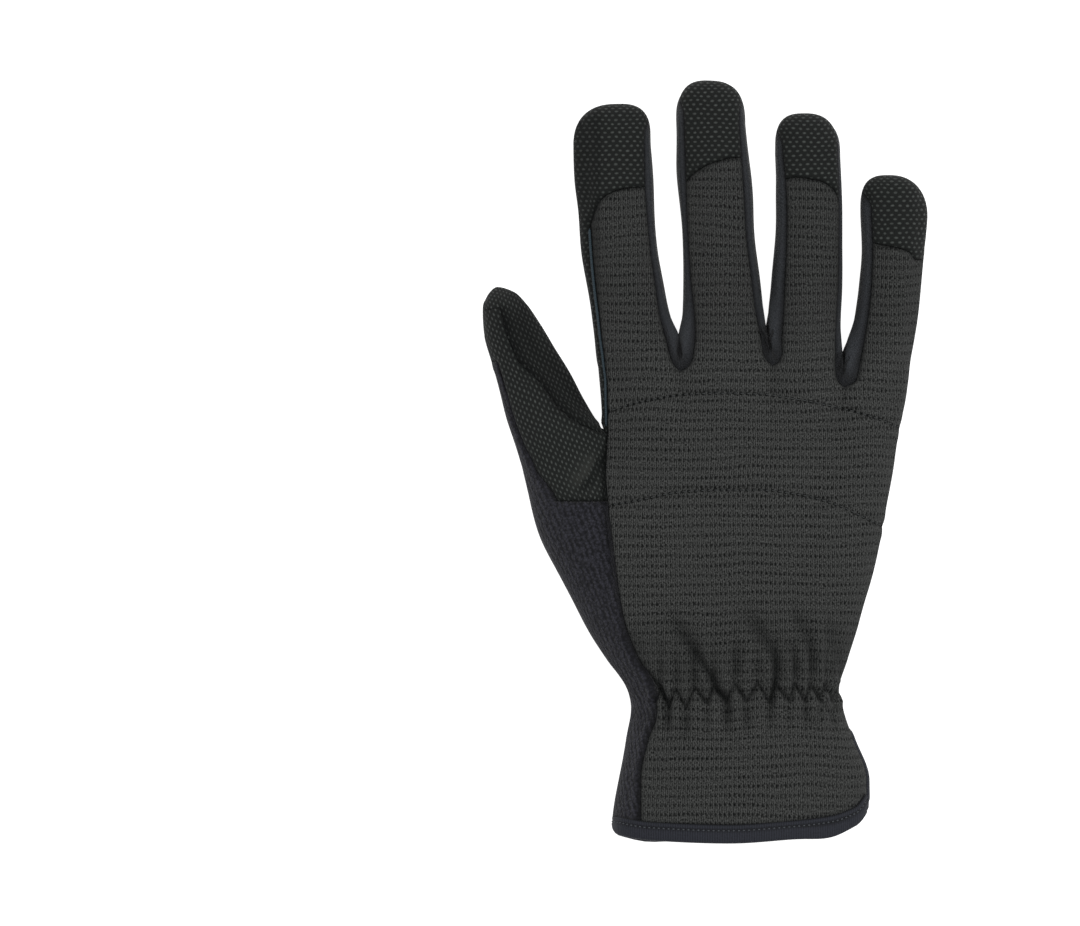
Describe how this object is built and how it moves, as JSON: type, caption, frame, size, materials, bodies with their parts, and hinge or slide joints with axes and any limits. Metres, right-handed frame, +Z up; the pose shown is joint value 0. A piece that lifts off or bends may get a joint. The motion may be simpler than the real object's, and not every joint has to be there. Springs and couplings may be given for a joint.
{
  "type": "handling glove",
  "caption": "Sewn right-hand work glove with a waffle-knit back, dotted grip palm and fingertips, terry thumb side and a gathered elastic wrist, lying on its palm.",
  "frame": {"origin": "centre of the bounding box, at the height of the surface that the glove lies on", "axes": "+Y from the cuff to the fingertips, +Z up out of the back of the hand, +X to the little finger side (the thumb is on -X)"},
  "size_m": [0.1442, 0.25, 0.0361],
  "materials": {
    "knit": "charcoal waffle-knit stretch fabric, matt",
    "dotted_grip": "black polyester with raised grey grip dots, matt",
    "stretch": "smooth black stretch cloth, soft sheen",
    "terry": "dark terry cloth with a fine looped nap",
    "binding_tape": "dark blue-grey woven tape, folded",
    "piping": "bluish grey piping cord"
  },
  "bodies": {
    "root": {"back_panel": "knit", "palm_panel": "dotted_grip", "fourchette_index_middle": "stretch", "fourchette_middle_ring": "stretch", "fourchette_ring_little": "stretch", "thumb_front": "dotted_grip", "thumb_back_patch": "dotted_grip", "terry_panel": "terry", "cuff_binding": "binding_tape", "vent_binding": "binding_tape", "index_piping": "piping", "palm_patch_upper": "dotted_grip", "palm_patch_lower": "dotted_grip"}
  },
  "joints": []
}
